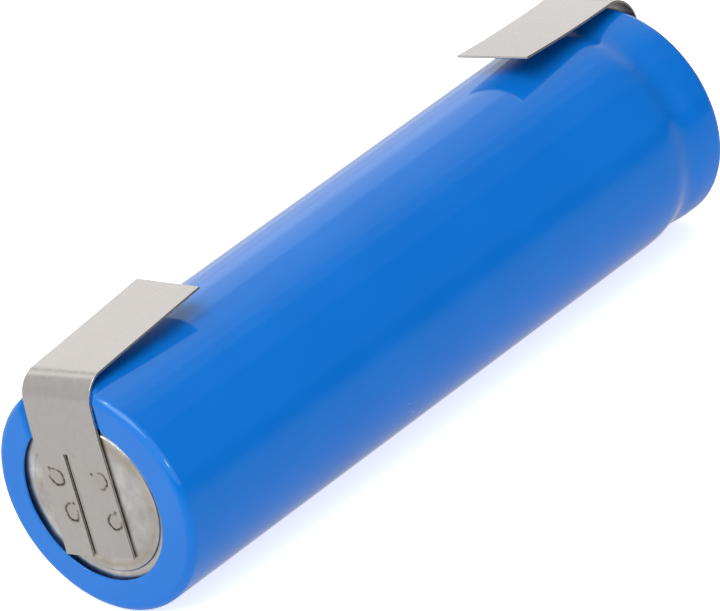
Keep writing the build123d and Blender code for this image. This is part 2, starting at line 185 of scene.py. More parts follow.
# ---------------------------------------------------------------- node materials
class Nodes:
    """Small helper to build a node material from left to right."""

    def __init__(self, name):
        self.material = bpy.data.materials.new(name)
        self.material.use_nodes = True
        self.tree = self.material.node_tree
        self.tree.nodes.clear()
        self.output = self.add("ShaderNodeOutputMaterial")
        self.shader = self.add("ShaderNodeBsdfPrincipled")
        self.link(self.shader, "BSDF", self.output, "Surface")

    def add(self, kind, **values):
        node = self.tree.nodes.new(kind)
        for key, value in values.items():
            if hasattr(node, key):
                setattr(node, key, value)
            else:
                node.inputs[key.replace("_", " ")].default_value = value
        return node

    def link(self, source, output, target, socket):
        self.tree.links.new(source.outputs[output], target.inputs[socket])

    def set(self, **values):
        for key, value in values.items():
            self.shader.inputs[key.replace("_", " ")].default_value = value

    def coordinates(self, stretch=(1, 1, 1), attribute=None):
        """Object coordinates, or a point attribute, stretched by a factor on each axis."""
        if attribute:
            source = self.add("ShaderNodeAttribute", attribute_name=attribute)
            output = "Vector"
        else:
            source = self.add("ShaderNodeTexCoord")
            output = "Object"
        mapping = self.add("ShaderNodeMapping")
        mapping.inputs["Scale"].default_value = stretch
        self.link(source, output, mapping, "Vector")
        return mapping

    def noise(self, scale, detail=3.0, roughness=0.55, coordinates=None):
        node = self.add("ShaderNodeTexNoise", Scale=scale, Detail=detail, Roughness=roughness)
        self.link(coordinates or self.coordinates(), "Vector", node, "Vector")
        return node

    def ramp(self, source, output, stops):
        node = self.add("ShaderNodeValToRGB")
        elements = node.color_ramp.elements
        while len(elements) < len(stops):
            elements.new(0.5)
        for element, (position, colour) in zip(elements, stops):
            element.position = position
            element.color = (*colour, 1.0)
        self.link(source, output, node, "Fac")
        return node

    def range(self, source, output, low, high, start=0.0, end=1.0):
        node = self.add("ShaderNodeMapRange")
        for socket, value in (("From Min", start), ("From Max", end), ("To Min", low), ("To Max", high)):
            node.inputs[socket].default_value = value
        self.link(source, output, node, "Value")
        return node

    def mix(self, factor, first, second, blend="MIX"):
        """Mixes two colours; factor, first and second are (node, output) pairs or values."""
        node = self.add("ShaderNodeMix", data_type="RGBA", blend_type=blend)
        for socket, value in ((0, factor), (6, first), (7, second)):
            if isinstance(value, tuple) and isinstance(value[0], bpy.types.Node):
                self.tree.links.new(value[0].outputs[value[1]], node.inputs[socket])
            else:
                node.inputs[socket].default_value = value
        return node

    def bump(self, source, output, distance, strength, under=None):
        node = self.add("ShaderNodeBump", Strength=strength, Distance=distance)
        self.link(source, output, node, "Height")
        if under:
            self.link(under, "Normal", node, "Normal")
        return node


def sleeve_material():
    """Glossy blue shrink film: faint waviness, orange peel, hairline scratches and a few dust specks."""
    n = Nodes("blue_shrink_film")
    n.set(IOR=1.5, Coat_Weight=0.0, Specular_IOR_Level=0.66, Specular_Tint=(0.73, 1.0, 1.0, 1.0))
    broad = n.noise(90, 2.0)
    tint = n.ramp(broad, "Fac", [(0.3, (0.0030, 0.156, 0.610)), (0.7, (0.0042, 0.172, 0.655))])
    specks = n.add("ShaderNodeTexVoronoi", Scale=420.0)
    n.link(n.coordinates(), "Vector", specks, "Vector")
    speck_mask = n.ramp(specks, "Distance", [(0.018, (1, 1, 1)), (0.030, (0, 0, 0))])
    chance = n.noise(260, 1.0)
    chosen = n.ramp(chance, "Fac", [(0.60, (0, 0, 0)), (0.66, (1, 1, 1))])
    dust = n.mix(1.0, (speck_mask, "Color"), (chosen, "Color"), "MULTIPLY")
    colour = n.mix((dust, 2), (tint, "Color"), (0.33, 0.52, 0.86, 1.0))
    n.tree.links.new(colour.outputs[2], n.shader.inputs["Base Color"])
    smear = n.noise(300, 4.0)
    n.link(n.range(smear, "Fac", 0.07, 0.13, 0.3, 0.7), "Result", n.shader, "Roughness")
    peel = n.noise(1400, 2.0)
    fine = n.bump(peel, "Fac", 0.000002, 0.4)
    scratches = n.noise(700, 5.0, 0.7, n.coordinates((0.15, 1, 1)))
    marks = n.bump(scratches, "Fac", 0.000002, 0.5, fine)
    n.link(marks, "Normal", n.shader, "Normal")
    return n.material


def nickel_material():
    """Rolled nickel strip: satin, lightly mottled, grained along its length, heat-stained at the welds;
    painted highlight on its cut edges.
    """
    n = Nodes("rolled_nickel_strip")
    n.set(Metallic=1.0)
    grain_space = n.coordinates((0.06, 1.0, 1.0), "strip")
    mottle_space = n.coordinates((1.0, 1.0, 1.0), "strip")
    grain = n.noise(14.0, 4.0, 0.6, grain_space)
    mottle = n.noise(1.6, 5.0, 0.65, mottle_space)
    base = n.ramp(mottle, "Fac", [(0.25, (0.545, 0.512, 0.488)), (0.75, (0.60, 0.567, 0.543))])
    lines = n.ramp(grain, "Fac", [(0.3, (0.95, 0.95, 0.95)), (0.7, (1.0, 1.0, 1.0))])
    grained = n.mix(1.0, (base, "Color"), (lines, "Color"), "MULTIPLY")
    heat = n.add("ShaderNodeAttribute", attribute_name="weld_stain")
    browns = [(0.1, (0.36, 0.27, 0.19)), (0.45, (0.10, 0.066, 0.044)), (0.8, (0.018, 0.012, 0.009))]
    burnt = n.ramp(heat, "Fac", browns)
    depth = n.add("ShaderNodeSeparateXYZ")
    n.link(n.add("ShaderNodeAttribute", attribute_name="strip"), "Vector", depth, "Vector")
    through = n.range(depth, "Z", 0.0, 1.0, 0.0, BACK_LAYER)
    # The cut edges between the two faces are rougher, and painted a paler warm colour as a highlight, like
    # the light they catch.
    between_faces = [(0.03, (0, 0, 0)), (0.12, (1, 1, 1)), (0.88, (1, 1, 1)), (0.97, (0, 0, 0))]
    edge_rough_and_highlight = n.ramp(through, "Result", between_faces)
    edge_highlighted = n.mix((edge_rough_and_highlight, "Color"), (grained, 2), (0.80, 0.74, 0.66, 1.0))
    stained = n.mix((heat, "Fac"), (edge_highlighted, 2), (burnt, "Color"))
    n.tree.links.new(stained.outputs[2], n.shader.inputs["Base Color"])
    rough = n.add("ShaderNodeMath", operation="MAXIMUM")
    n.link(n.range(mottle, "Fac", 0.21, 0.30, 0.3, 0.7), "Result", rough, 0)
    n.link(n.range(edge_rough_and_highlight, "Color", 0.0, 0.55), "Result", rough, 1)
    n.link(rough, "Value", n.shader, "Roughness")
    fine = n.bump(grain, "Fac", 0.0000008, 0.3)
    pits = n.noise(5.0, 3.0, 0.6, mottle_space)
    n.link(n.bump(pits, "Fac", 0.0000006, 0.3, fine), "Normal", n.shader, "Normal")
    return n.material


def radial_distance(n):
    """Distance from the cell's axis, in metres, as a node."""
    source = n.add("ShaderNodeTexCoord")
    shifted = n.add("ShaderNodeVectorMath", operation="SUBTRACT")
    n.link(source, "Object", shifted, 0)
    shifted.inputs[1].default_value = (0, 0, AXIS_Z)
    flat = n.add("ShaderNodeVectorMath", operation="MULTIPLY")
    n.link(shifted, "Vector", flat, 0)
    flat.inputs[1].default_value = (0, 1, 1)
    length = n.add("ShaderNodeVectorMath", operation="LENGTH")
    n.link(flat, "Vector", length, 0)
    return length


def plated_steel_material(name, stained):
    """Nickel-plated deep-drawn steel: mottled satin, and a faint brown ring if it is stained."""
    n = Nodes(name)
    n.set(Metallic=1.0)
    mottle = n.noise(420, 6.0, 0.62)
    greys = [(0.32, (0.49, 0.47, 0.45)), (0.52, (0.62, 0.60, 0.58)), (0.70, (0.84, 0.81, 0.79))]
    base = n.ramp(mottle, "Fac", greys)
    colour = (base, "Color")
    if stained:
        ring = n.range(radial_distance(n), "Value", 0.0, 1.0, 0.0046, 0.0064)
        band = n.ramp(ring, "Result", [(0.0, (0, 0, 0)), (0.45, (0.6, 0.6, 0.6)), (0.66, (0, 0, 0))])
        blotch = n.noise(500, 3.0)
        patches = n.ramp(blotch, "Fac", [(0.36, (0, 0, 0)), (0.60, (1, 1, 1))])
        mask = n.mix(1.0, (band, "Color"), (patches, "Color"), "MULTIPLY")
        colour = (n.mix((mask, 2), colour, (0.46, 0.36, 0.24, 1.0)), 2)
    n.tree.links.new(colour[0].outputs[colour[1]], n.shader.inputs["Base Color"])
    n.link(n.range(mottle, "Fac", 0.26, 0.40, 0.3, 0.7), "Result", n.shader, "Roughness")
    dents = n.noise(900, 4.0)
    n.link(n.bump(dents, "Fac", 0.000006, 0.6), "Normal", n.shader, "Normal")
    return n.material


def mottled_material(name, low, high, scale, roughness, bump, metallic=0.0, stretch=(1, 1, 1)):
    """Plain material with colour, roughness and surface variation at one scale."""
    n = Nodes(name)
    n.set(Metallic=metallic)
    space = n.coordinates(stretch)
    pattern = n.noise(scale, 5.0, 0.6, space)
    colours = n.ramp(pattern, "Fac", [(0.3, low), (0.7, high)])
    n.link(colours, "Color", n.shader, "Base Color")
    rough = n.range(pattern, "Fac", roughness - 0.06, roughness + 0.06, 0.3, 0.7)
    n.link(rough, "Result", n.shader, "Roughness")
    fine = n.noise(scale * 4, 3.0, 0.6, space)
    n.link(n.bump(fine, "Fac", bump, 0.6), "Normal", n.shader, "Normal")
    return n.material


def stage_material():
    """Lit white floor.  In reflections it is a pale sheet that ends a little way in front of the cell."""
    n = Nodes("pale_floor")
    n.set(Roughness=0.9, Emission_Color=(1, 1, 1, 1))
    n.shader.inputs["Specular IOR Level"].default_value = 0.1
    fibres = n.noise(60, 4.0)
    tone = n.ramp(fibres, "Fac", [(0.3, (0.86, 0.86, 0.86)), (0.7, (0.88, 0.88, 0.88))])
    n.link(tone, "Color", n.shader, "Base Color")
    place = n.add("ShaderNodeTexCoord")
    split = n.add("ShaderNodeSeparateXYZ")
    n.link(place, "Object", split, "Vector")
    across = n.range(split, "Y", 0.0, 1.0, -0.05, 0.05)
    steps = [(0.0, (0, 0, 0)), (0.2, (0.28,) * 3), (0.4, (0.42,) * 3), (0.6, (0.78,) * 3)]
    sheet = n.ramp(across, "Result", steps)
    glow = n.add("ShaderNodeEmission")
    n.link(sheet, "Color", glow, "Color")
    path = n.add("ShaderNodeLightPath")
    n.link(n.range(path, "Is Camera Ray", 0.22, 0.72), "Result", n.shader, "Emission Strength")
    mix = n.add("ShaderNodeMixShader")
    n.link(path, "Is Glossy Ray", mix, "Fac")
    n.link(n.shader, "BSDF", mix, 1)
    n.link(glow, "Emission", mix, 2)
    n.link(mix, "Shader", n.output, "Surface")
    return n.material


# ---------------------------------------------------------------- mesh helpers
def mesh_object(name, vertices, faces, material):
    """Closed mesh from millimetres about the cell's axis, shaded smooth, with outward normals."""
    mesh = bpy.data.meshes.new(name)
    points = np.asarray(vertices, float) * MM + np.array([FACE_X, 0, AXIS_Z])
    mesh.from_pydata(points.tolist(), [], faces)
    work = bmesh.new()
    work.from_mesh(mesh)
    bmesh.ops.remove_doubles(work, verts=work.verts, dist=1e-7)
    bmesh.ops.recalc_face_normals(work, faces=work.faces)
    work.to_mesh(mesh)
    work.free()
    for polygon in mesh.polygons:
        polygon.use_smooth = True
    mesh.materials.append(material)
    piece = bpy.data.objects.new(name, mesh)
    bpy.context.scene.collection.objects.link(piece)
    return piece


def arc(along, out, radius, start, end, steps):
    """Points of an arc in the section; angles in degrees from the along direction towards out."""
    angles = np.radians(np.linspace(start, end, steps))
    return [(along + radius * math.cos(a), out + radius * math.sin(a)) for a in angles]


def run(start, end, step):
    """Evenly spaced points from start to end, without the last one."""
    count = max(1, round(math.dist(start, end) / step))
    return [tuple(np.array(start) + (np.array(end) - np.array(start)) * k / count) for k in range(count)]


def turned(name, outline, segments, material, closed=True, warp=None):
    """Solid of revolution about the cell's axis from its section in (along, out)."""
    outline = np.array(outline)
    count = len(outline)
    around = np.linspace(0, 2 * math.pi, segments, endpoint=False)
    along = np.repeat(outline[None, :, 0], segments, axis=0)
    out = np.repeat(outline[None, :, 1], segments, axis=0)
    points = np.stack([along, -out * np.sin(around)[:, None], out * np.cos(around)[:, None]], axis=-1)
    if warp:
        points = warp(points)
    faces = []
    spans = count if closed else count - 1
    for k in range(segments):
        here, there = k * count, (k + 1) % segments * count
        for i in range(spans):
            j = (i + 1) % count
            faces.append((here + i, there + i, there + j, here + j))
    return mesh_object(name, points.reshape(-1, 3), faces, material)


def smooth_step(value):
    value = np.clip(value, 0, 1)
    return value * value * (3 - 2 * value)


# ---------------------------------------------------------------- sleeve
def sleeve_radius(along):
    """Outside of the sleeve along the barrel, with its soft dip over the rolled bead."""
    offset = along - BEAD_CENTRE
    shoulder = smooth_step(offset / (2 * BEAD_SHOULDER_WIDTH) + 0.5)
    dip = BEAD_DIP * math.exp(-(offset / BEAD_DIP_WIDTH) ** 2)
    return RADIUS + (RIM_RADIUS - RADIUS) * shoulder - dip


def sleeve_outline():
    """Film of the sleeve, from the negative lip's edge round both ends and back inside."""
    barrel_start = SLEEVE_START + NEGATIVE_CORNER
    barrel_end = SLEEVE_END - POSITIVE_CORNER
    bead_start = BEAD_CENTRE - 3
    stations = np.concatenate([
        np.arange(barrel_start, bead_start, 0.8),
        np.arange(bead_start, barrel_end, 0.12),
    ])
    outside = [(a, sleeve_radius(a)) for a in stations]
    rim = sleeve_radius(barrel_end)
    can_corner = CAN_RADIUS + SLEEVE_CLEARANCE - CAN_CORNER
    lip_inside = SLEEVE_START + SLEEVE_WALL
    far_inside = SLEEVE_END - POSITIVE_LIP
    inner_corner = POSITIVE_INNER_CORNER
    line = []
    line += arc(lip_inside - LIP_EDGE, NEGATIVE_HOLE + LIP_EDGE, LIP_EDGE, 360, 270, 5)
    line += arc(SLEEVE_START + LIP_EDGE, NEGATIVE_HOLE + LIP_EDGE, LIP_EDGE, 265, 180, 5)
    lip_face = (SLEEVE_START, NEGATIVE_HOLE + LIP_EDGE * 1.6)
    line += run(lip_face, (SLEEVE_START, RADIUS - NEGATIVE_CORNER), 0.15)
    line += arc(barrel_start, RADIUS - NEGATIVE_CORNER, NEGATIVE_CORNER, 180, 91, 16)
    line += outside
    line += arc(barrel_end, rim - POSITIVE_CORNER, POSITIVE_CORNER, 88, 0, 18)
    line += run((SLEEVE_END, rim - POSITIVE_CORNER - 0.1), (SLEEVE_END, POSITIVE_HOLE + LIP_EDGE), 0.15)
    line += arc(SLEEVE_END - LIP_EDGE, POSITIVE_HOLE + LIP_EDGE, LIP_EDGE, 0, -90, 6)
    line += [(far_inside, POSITIVE_HOLE)]
    line += arc(far_inside - inner_corner, rim - SLEEVE_WALL - inner_corner, inner_corner, 0, 90, 8)
    inside = [a for a in stations[::-1] if INSIDE_START < a < INSIDE_END]
    line += [(a, sleeve_radius(a) - SLEEVE_WALL) for a in inside]
    line += arc(STEP_DEPTH - SLEEVE_CLEARANCE + CAN_CORNER, can_corner, CAN_CORNER, 90, 165, 10)
    line += run((lip_inside, can_corner + 0.2), (lip_inside, NEGATIVE_HOLE + LIP_EDGE + 0.05), 0.15)
    return line


def press_under_tag(points):
    """Presses the sleeve's lip and corner down where the negative tag lies on it."""
    tag = NEGATIVE_TAG
    along, side, height = points[..., 0], points[..., 1], points[..., 2]
    lean_height = LEAN_FROM + FOOT_END
    lean = tag["lean"] * np.clip((height - lean_height) / (tag["bend_centre"] - lean_height), 0, 1)
    face = tag["foot"] + TAG_THICKNESS / 2 + PRESS_CLEARANCE + lean
    radius = tag["bend_radius"] - TAG_THICKNESS / 2 - PRESS_CLEARANCE
    centre = tag["foot"] + TAG_THICKNESS / 2 + PRESS_CLEARANCE + tag["lean"] + radius
    edge = np.abs(side - TAG_OFFSET) - TAG_WIDTH / 2
    beside = smooth_step(1 - (edge - 0.05) / PRESS_FADE)
    share = beside * smooth_step((height - PRESS_FROM) / PRESS_FADE)
    low = height < tag["bend_centre"]
    pressed_along = np.where(low, np.maximum(along, face), along)
    distance = np.hypot(along - centre, height - tag["bend_centre"])
    beyond = (~low) & (along < centre) & (distance > radius)
    scale = np.where(beyond, radius / np.maximum(distance, 1e-6), 1.0)
    pressed_along = np.where(beyond, centre + (along - centre) * scale, pressed_along)
    pressed_height = np.where(beyond, tag["bend_centre"] + (height - tag["bend_centre"]) * scale, height)
    near = along < 2.5
    share = np.where(near, share, 0)
    result = points.copy()
    result[..., 0] = along + (pressed_along - along) * share
    result[..., 2] = height + (pressed_height - height) * share
    return result


def shrink_waves(points):
    """Faint waves left by shrinking, stronger at both ends, and the negative lip's off-centre opening."""
    result = points.copy()
    rows, columns = points.shape[:2]
    for i in range(rows):
        for j in range(columns):
            along, side, height = points[i, j]
            out = math.hypot(side, height)
            at_ends = max(0.0, 1 - min(along - SLEEVE_START, SLEEVE_END - along) / END_WAVES)
            wave = noise.noise(Vector((along * 0.10, side * 0.22, height * 0.22)))
            ripple = noise.noise(Vector((along * 0.5 + 9, side * 0.8, height * 0.8)))
            shift = 0.006 * wave + (0.002 + 0.010 * at_ends) * ripple
            result[i, j, 1] += side / out * shift
            result[i, j, 2] += height / out * shift
            if along < 1 and out < LIP_ROOT:
                drift = LIP_DRIFT * (1 + side / out) * smooth_step((LIP_ROOT - out) / LIP_DRIFT_WIDTH)
                result[i, j, 1] += side / out * drift
                result[i, j, 2] += height / out * drift
            if out < RADIUS - 0.8:
                pucker = noise.noise(Vector((side * 0.45, height * 0.45, along * 0.2 + 4)))
                result[i, j, 0] += 0.02 * pucker
    return press_under_tag(result)


def make_sleeve(material):
    sleeve = turned(
        "shrink_sleeve_film", sleeve_outline(), 480, material, warp=shrink_waves
    )
    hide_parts("shrink_sleeve")
    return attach(sleeve, "cell")


# ---------------------------------------------------------------- can, washer
def can_outline():
    """Bottom with its raised middle, straight wall, rolled bead and crimped edge."""
    line = run((CAN_HOLLOW, 0.0), (0.0, 3.0), 0.25)
    line += run((0.0, 3.0), (0.0, STEP_RADIUS - STEP_CORNER), 0.2)
    line += arc(STEP_CORNER, STEP_RADIUS - STEP_CORNER, STEP_CORNER, 180, 110, 5)
    line += [(STEP_DEPTH + 0.03, STEP_RADIUS + 0.05), (STEP_DEPTH + 0.04, STEP_RADIUS + 0.12)]
    line += run((STEP_DEPTH, STEP_RADIUS + 0.25), (STEP_DEPTH, CAN_RADIUS - CAN_CORNER), 0.2)
    line += arc(STEP_DEPTH + CAN_CORNER, CAN_RADIUS - CAN_CORNER, CAN_CORNER, 180, 92, 10)
    bead_start = BEAD_CENTRE - 1.6
    bead_end = BEAD_CENTRE + 2.2
    outer = []
    for along in np.concatenate([
        np.arange(STEP_DEPTH + CAN_CORNER + 0.2, bead_start - 0.1, 3.0),
        np.arange(bead_start, bead_end, 0.15),
    ]):
        offset = (along - BEAD_CENTRE) / CAN_BEAD_WIDTH
        wall = CAN_RADIUS - CAN_NECK_STEP * smooth_step(offset / 2 + 0.5)
        outer.append((float(along), float(wall - CAN_BEAD_DEPTH * math.exp(-abs(offset) ** 3))))
    line += outer
    line += arc(CAN_END - CRIMP_CORNER, CRIMP_BEND, CRIMP_CORNER, 90, 0, 10)
    line += run((CAN_END, CRIMP_BEND - 0.1), (CAN_END, CRIMP_HOLE + 0.04), 0.2)
    line += arc(CAN_END - CAN_WALL / 2, CRIMP_HOLE, CAN_WALL / 2, 0, -180, 8)
    line += [(CAN_END - CAN_WALL, CRIMP_BEND - 0.1)]
    line += [(a, r - CAN_WALL) for a, r in outer[::-1]]
    line += [(STEP_DEPTH + CAN_WALL, CAN_RADIUS - CAN_CORNER), (STEP_DEPTH + CAN_WALL, 0.0)]
    return line


def make_can(material):
    can = turned("can_shell", can_outline(), 192, material, closed=False)
    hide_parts("can")
    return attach(can, "cell")


def make_washer(material):
    """Insulating washer with a soft cut edge and a little waviness."""
    low = (washer_low.x - FACE_X) / MM
    high = (washer_high.x - FACE_X) / MM
    outer = (washer_high.z - washer_low.z) / 2 / MM
    inner = WASHER_HOLE
    middle = (low + high) / 2
    half = (high - low) / 2
    line = arc(middle, inner + half, half, 180, 360, 8)
    line += run((high, inner + half + 0.05), (high, outer - half), 0.3)
    line += arc(middle, outer - half, half, 0, 180, 8)
    line += run((low, outer - half - 0.05), (low, inner + half), 0.3)

    def waviness(points):
        turn = np.arctan2(points[..., 1], points[..., 2])
        out = np.hypot(points[..., 1], points[..., 2])
        points = points.copy()
        points[..., 0] += 0.012 * np.sin(3 * turn + 1) * (out - inner) / (outer - inner)
        return points

    washer = turned("insulating_washer_board", line, 160, material, warp=waviness)
    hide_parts("insulating_washer")
    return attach(washer, "cell")


# ---------------------------------------------------------------- solder tags
def tag_path(tag, travel):
    """Middle line of a tag: place inward and out, and heading, at a distance from its free foot end."""
    radius = tag["bend_radius"]
    foot = tag["bend_centre"] - FOOT_END
    pitch, last_pitch = (math.radians(p) for p in tag["pitch"])
    turn = math.pi / 2 - pitch
    curl = (last_pitch - pitch) / tag["leg"]
    on_bend = np.clip((travel - foot) / radius, 0, turn)
    on_leg = np.clip(travel - foot - radius * turn, 0, None)
    heading = on_bend - curl * on_leg
    leaning = tag["lean"] * np.clip((travel - LEAN_FROM) / (foot - LEAN_FROM), 0, 1) ** 1.5
    inward = leaning + radius * (1 - np.cos(on_bend))
    inward = inward + (np.cos(turn - curl * on_leg) - math.cos(turn)) / curl
    out = tag["bend_centre"] + radius * np.sin(on_bend)
    out = out + (math.sin(turn) - np.sin(turn - curl * on_leg)) / curl
    out = out - np.clip(foot - travel, 0, None)
    return inward, out, heading


def with_edge_lines(values, edges):
    """Grid lines with extra ones close to each edge, for its rounding."""
    extra = []
    for edge, inward in edges:
        near = [edge + inward * d for d in (0.0, 0.006, 0.016, 0.032, EDGE_ROUND, 0.09)]
        values = [v for v in values if not min(near) - 0.03 < v < max(near) + 0.03]
        extra += near
    return np.array(sorted(list(values) + extra))


def weld_marks(travel, side):
    """Relief and heat stain of the spot welds: an open ring, spatter and one burnt speck each."""
    relief = np.zeros_like(travel)
    heat = np.zeros_like(travel)
    for k, (mark_side, mark_height, strongest, closed, speck_turn) in enumerate(WELDS):
        across = side - (mark_side - TAG_OFFSET)
        up = travel - (mark_height - FOOT_END)
        turn = np.arctan2(across, up)
        out = np.hypot(across * (1.08 if k % 2 else 0.96), up)
        wobble = 1 + 0.06 * np.sin(2 * turn + 1.3 * k) + 0.04 * np.sin(5 * turn + 2.1 * k)
        ring = np.exp(-(((out / wobble) - WELD_RING) / WELD_STROKE) ** 2)
        strength = closed + 0.6 * np.cos(turn - strongest)
        strength = smooth_step(strength + 0.15 * np.sin(4 * turn + k))
        relief -= WELD_DEPTH * ring * (0.25 + 0.75 * strength)
        relief += 0.012 * np.exp(-((out - WELD_RING - 0.16) / 0.08) ** 2)
        relief -= 0.010 * np.exp(-(out / 0.42) ** 2)
        heat = np.maximum(heat, 1.25 * ring * strength * (0.85 + 0.15 * np.sin(9 * turn + k)))
        heat = np.maximum(heat, 0.16 * np.exp(-(out / 0.95) ** 2))
        for s in range(3):
            drop_turn = 2.4 * k + 1.1 * s
            drop_out = WELD_RING * (0.95 + 0.35 * ((s * 7 + k * 3) % 4) / 4)
            drop = distance_from(across, up, drop_out, drop_turn)
            relief += 0.028 * np.exp(-(drop / 0.085) ** 2)
        speck = distance_from(across, up, 1.3 * WELD_RING, speck_turn)
        heat = np.maximum(heat, np.exp(-(speck / 0.14) ** 2))
    return relief, np.minimum(heat, 1)


def distance_from(across, up, out, turn):
    """Distance of the strip's points from a place beside a weld, out from its middle at a turn."""
    return np.hypot(across - out * math.sin(turn), up - out * math.cos(turn))


def strip_grid(foot, bend, length):
    """Grid lines across and along the strip, close together over the slit and the welds."""
    half = TAG_WIDTH / 2
    stations = [*np.arange(0, FINE_END, FINE_STEP), *np.arange(FINE_END, foot, 0.2)]
    stations += [*np.arange(foot, foot + bend, 0.11), *np.arange(foot + bend, length, 0.3)]
    stations = with_edge_lines(stations, [(0.0, 1), (SLIT_LENGTH, 1), (length, -1)])
    sides = np.arange(-half, half, FINE_STEP)
    sides = with_edge_lines(sides, [(-half, 1), (half, -1), (SLIT_LOW, -1), (SLIT_HIGH, 1)])
    return stations, np.array([s for s in sides if not SLIT_LOW < s < SLIT_HIGH])


def edge_distances(travel, side, length):
    """Distances of the strip's points from the nearest edge of any kind, and from the slit."""
    half = TAG_WIDTH / 2
    edge = np.minimum(np.minimum(half - side, half + side), np.minimum(travel, length - travel))
    beside = np.where(side <= SLIT_MIDDLE, SLIT_LOW - side, side - SLIT_HIGH)
    beside = np.where(np.isclose(beside, 0), 0, beside)
    past = np.maximum(travel - SLIT_LENGTH, 0)
    to_slit = np.where(past > 0, np.hypot(np.maximum(beside, 0), past), np.abs(beside))
    return np.clip(np.minimum(edge, to_slit), 0, None), to_slit


def strip_detail(tag, travel, side, foot, edge, to_slit):
    """Relief and heat stain of the outer face: welds, faint dents, burrs and the curl at the slit's top."""
    relief, heat = weld_marks(travel, side)
    for i in range(travel.shape[0]):
        for j in range(travel.shape[1]):
            spot = Vector((travel[i, j] * 0.35, side[i, j] * 0.35, tag["foot"]))
            relief[i, j] += 0.010 * noise.noise(spot)
    curl_out = np.hypot(side - SLIT_MIDDLE + 0.32, travel - SLIT_LENGTH + 0.1)
    slit_head = smooth_step((travel - SLIT_LENGTH + 0.5) / 0.4)
    relief += SLIT_CURL_HEIGHT * np.exp(-((curl_out - SLIT_CURL) / 0.11) ** 2) * slit_head
    relief += EDGE_BURR * np.exp(-(edge / 0.07) ** 2) * (travel < foot)
    burr = np.exp(-((SLIT_LOW - side - 0.06) / 0.07) ** 2) * smooth_step((SLIT_LENGTH - travel) / 0.6)
    relief += SLIT_BURR * burr * (side < SLIT_LOW + 1e-6)
    heat = np.maximum(heat, 0.35 * np.exp(-(to_slit / 0.05) ** 2) * (travel < SLIT_LENGTH + 0.2))
    return relief, heat


def make_tag(name, tag, material, nodes):
    """One continuous strip: slit foot, bend over the rim and leg, with sheared edges and weld marks."""
    foot = tag["bend_centre"] - FOOT_END
    bend = tag["bend_radius"] * (math.pi / 2 - math.radians(tag["pitch"][0]))
    length = foot + bend + tag["leg"]
    stations, sides = strip_grid(foot, bend, length)
    travel, side = np.meshgrid(stations, sides, indexing="ij")
    edge, to_slit = edge_distances(travel, side, length)
    dip = np.clip(EDGE_ROUND - edge, 0, None)
    rounding = EDGE_ROUND - np.sqrt(np.maximum(EDGE_ROUND ** 2 - dip ** 2, 0))
    relief, heat = strip_detail(tag, travel, side, foot, edge, to_slit)

    # The foot's prongs splay a little, and the narrower one is longer and lifted at its free end.
    narrow = smooth_step((side - SLIT_HIGH + 0.05) / 0.1)
    free = np.clip(1 - travel / SLIT_LENGTH, 0, 1) ** 2
    slide = -0.22 * narrow * free
    splay = 0.05 * narrow * free - 0.03 * (1 - narrow) * free
    lift = 0.05 * np.exp(-travel / 0.35) * narrow

    layers = []
    for sign, face_relief in ((1, relief), (-1, -0.3 * np.minimum(relief, 0))):
        height = sign * (TAG_THICKNESS / 2 - rounding) + face_relief
        height = height + lift
        inward, out, heading = tag_path(tag, travel + slide)
        inward = inward - np.cos(heading) * height
        out = out + np.sin(heading) * height
        layers.append(bend_leg(tag, inward, out, side + splay, travel, foot, bend).reshape(-1, 3))

    rows, columns = travel.shape
    slit_rows = int(np.searchsorted(stations, SLIT_LENGTH - 1e-9))
    slit_column = int(np.searchsorted(sides, SLIT_MIDDLE)) - 1
    present = np.ones((rows - 1, columns - 1), bool)
    present[:slit_rows, slit_column] = False
    faces = closed_faces(present, rows, columns)
    piece = mesh_object(name, np.concatenate(layers), faces, material)
    store_attributes(piece, travel, side, heat)
    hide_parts(*nodes)
    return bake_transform(piece)


def bend_leg(tag, inward, out, across, travel, foot, bend):
    """Places the strip on the cell and gives its leg the slight turn and twist of a hand fold."""
    share = smooth_step((travel - foot) / bend)
    root_in, root_out, _ = tag_path(tag, np.array(foot + bend))
    forward, up = inward - root_in, out - root_out
    yaw = math.radians(tag["yaw"]) * share
    roll = math.radians(tag["roll"]) * share
    skew = math.tan(math.radians(tag["skew"])) * smooth_step((travel - foot - bend) / 3)
    forward = forward + across * skew
    turned_across = across - np.clip(forward, 0, None) * np.sin(yaw)
    turned_up = up - turned_across * np.sin(roll)
    x = tag["foot"] + tag["direction"] * (root_in + forward)
    return np.stack([x, TAG_OFFSET + turned_across, root_out + turned_up], axis=-1)


def closed_faces(present, rows, columns):
    """Faces of a plate whose cells are present: top, back, and walls round every edge."""
    size = rows * columns
    faces = []

    def wall(a, b):
        faces.append((a, b, b + size, a + size))

    for i in range(rows - 1):
        for j in range(columns - 1):
            if not present[i, j]:
                continue
            a, b = i * columns + j, i * columns + j + 1
            c, d = (i + 1) * columns + j + 1, (i + 1) * columns + j
            faces.append((a, b, c, d))
            faces.append((d + size, c + size, b + size, a + size))
            if i == 0 or not present[i - 1, j]:
                wall(b, a)
            if i == rows - 2 or not present[i + 1, j]:
                wall(d, c)
            if j == 0 or not present[i, j - 1]:
                wall(a, d)
            if j == columns - 2 or not present[i, j + 1]:
                wall(c, b)
    return faces


def store_attributes(piece, travel, side, heat):
    """Keeps each point's place on the flat strip, and its heat stain, for the material."""
    mesh = piece.data
    count = travel.size
    if len(mesh.vertices) != 2 * count:
        raise ValueError("the strip lost points, so its attributes would not match")
    flat = np.zeros((2 * count, 3), np.float32)
    flat[:count, 0] = flat[count:, 0] = travel.ravel()
    flat[:count, 1] = flat[count:, 1] = side.ravel()
    flat[count:, 2] = BACK_LAYER
    strip = mesh.attributes.new("strip", "FLOAT_VECTOR", "POINT")
    strip.data.foreach_set("vector", flat.ravel())
    stain = np.zeros(2 * count, np.float32)
    stain[:count] = heat.ravel()
    heat_layer = mesh.attributes.new("weld_stain", "FLOAT", "POINT")
    heat_layer.data.foreach_set("value", stain)


